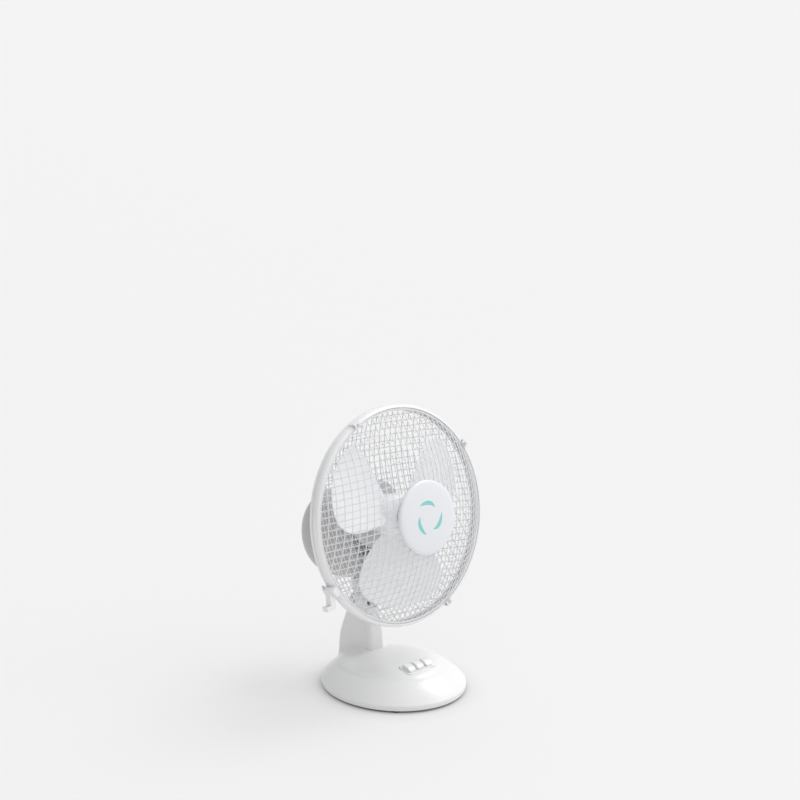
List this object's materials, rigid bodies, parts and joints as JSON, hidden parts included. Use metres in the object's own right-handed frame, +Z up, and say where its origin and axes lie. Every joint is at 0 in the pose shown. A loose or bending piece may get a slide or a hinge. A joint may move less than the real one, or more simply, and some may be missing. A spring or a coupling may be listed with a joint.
{
  "type": "desk fan",
  "caption": "White desk fan with a round wire mesh guard, a tilting and oscillating head, a domed oval base and push keys.",
  "frame": {"origin": "middle of the oval base on the table plane", "axes": "+X to the right as seen from the front, -Y the way the air leaves, +Z up"},
  "size_m": [0.2755, 0.248, 0.3628],
  "materials": {
    "shell_plastic": "glossy white",
    "grey_plastic": "light grey, satin",
    "blade_plastic": "milky, slightly see-through",
    "mesh_paint": "white powder coat",
    "badge_plastic": "glossy, with a turquoise printed ring",
    "steel": "bright zinc",
    "lamination": "dark laminated steel",
    "copper": "enamelled winding wire",
    "gear_plastic": "natural acetal",
    "black_plastic": "matt black",
    "foot_rubber": "matt"
  },
  "bodies": {
    "base": {"base_shell": "shell_plastic", "base_plate": "black_plastic", "ballast_weight": "steel", "rubber_feet": "foot_rubber", "base_screws": "steel", "column_screws": "steel", "cord_inlet": "black_plastic", "terminal_block": "black_plastic", "switch_body": "black_plastic", "key_bezel": "shell_plastic", "column": "shell_plastic", "tilt_pin": "steel", "tilt_nut": "steel"},
    "neck_body": {"neck": "shell_plastic", "tilt_washers": "gear_plastic", "anchor_arm": "steel", "spindle_clip": "steel"},
    "head": {"housing_front": "grey_plastic", "housing_rear": "grey_plastic", "motor_front_bracket": "steel", "motor_rear_bracket": "steel", "stator_core": "lamination", "windings": "copper", "front_bearing": "steel", "rear_bearing": "steel", "motor_screws": "steel", "gearbox_case": "gear_plastic", "gearbox_cover": "gear_plastic", "front_guard_wires": "mesh_paint", "rear_guard_wires": "mesh_paint", "front_guard_hoop": "mesh_paint", "rear_guard_hoop": "mesh_paint", "guard_plate": "mesh_paint", "guard_nut": "shell_plastic", "badge": "badge_plastic", "badge_plate": "badge_plastic", "rear_guard_ring": "shell_plastic", "front_guard_ring": "shell_plastic", "latch_pin": "steel", "ring_clips": "shell_plastic", "clip_screws": "steel"},
    "rotor": {"shaft": "steel", "rotor_core": "lamination", "worm": "gear_plastic", "fan_blade": "blade_plastic", "blade_nut": "grey_plastic"},
    "wheel": {"worm_wheel": "gear_plastic"},
    "crank": {"crank_gear": "gear_plastic"},
    "link": {"link_arm": "gear_plastic"},
    "clutch": {"clutch_knob": "grey_plastic"},
    "latch": {"guard_latch": "shell_plastic"},
    "key_left": {"key_0": "shell_plastic"},
    "key_middle": {"key_1": "shell_plastic"},
    "key_right": {"key_2": "shell_plastic"}
  },
  "joints": [
    {"name": "tilt", "type": "hinge", "parent": "base", "child": "neck_body", "pos_m": [0, 0.064, 0.098], "axis": [-1, 0, 0], "range_deg": [-15, 15]},
    {"name": "swivel", "type": "hinge", "parent": "neck_body", "child": "head", "pos_m": [0, 0.064, 0.098], "axis": [0, 0.184, 0.9829], "range_deg": [-35, 35]},
    {"name": "blade_spin", "type": "hinge", "parent": "head", "child": "rotor", "pos_m": [0, -0.00958, 0.22673], "axis": [0, -0.9829, 0.184], "continuous": true},
    {"name": "worm_wheel_spin", "type": "hinge", "parent": "head", "child": "wheel", "pos_m": [-0.013, 0.08577, 0.20889], "axis": [0, 0.184, 0.9829], "continuous": true},
    {"name": "crank_spin", "type": "hinge", "parent": "head", "child": "crank", "pos_m": [-0.015, 0.10327, 0.20561], "axis": [0, 0.184, 0.9829], "continuous": true},
    {"name": "link_swing", "type": "hinge", "parent": "neck_body", "child": "link", "pos_m": [0, 0.09143, 0.17934], "axis": [0, 0.184, 0.9829], "range_deg": [-35, 35]},
    {"name": "clutch_pull", "type": "slide", "parent": "head", "child": "clutch", "axis": [0, 0.184, 0.9829], "range_m": [0, 0.006]},
    {"name": "latch_swing", "type": "hinge", "parent": "head", "child": "latch", "pos_m": [-0.12538, -0.01594, 0.1601], "axis": [0.4695, -0.1624, -0.8679], "range_deg": [0, 60]},
    {"name": "key_left_press", "type": "slide", "parent": "base", "child": "key_left", "axis": [0, 0, -1], "range_m": [0, 0.004], "stiffness_N_per_m": 250},
    {"name": "key_middle_press", "type": "slide", "parent": "base", "child": "key_middle", "axis": [0, 0, -1], "range_m": [0, 0.004], "stiffness_N_per_m": 250},
    {"name": "key_right_press", "type": "slide", "parent": "base", "child": "key_right", "axis": [0, 0, -1], "range_m": [0, 0.004], "stiffness_N_per_m": 250}
  ],
  "couplings": [
    {"joint": "worm_wheel_spin", "follows": "blade_spin", "ratio": 0.041667},
    {"joint": "crank_spin", "follows": "blade_spin", "ratio": -0.013021},
    {"joint": "link_swing", "follows": "swivel", "ratio": 1}
  ]
}
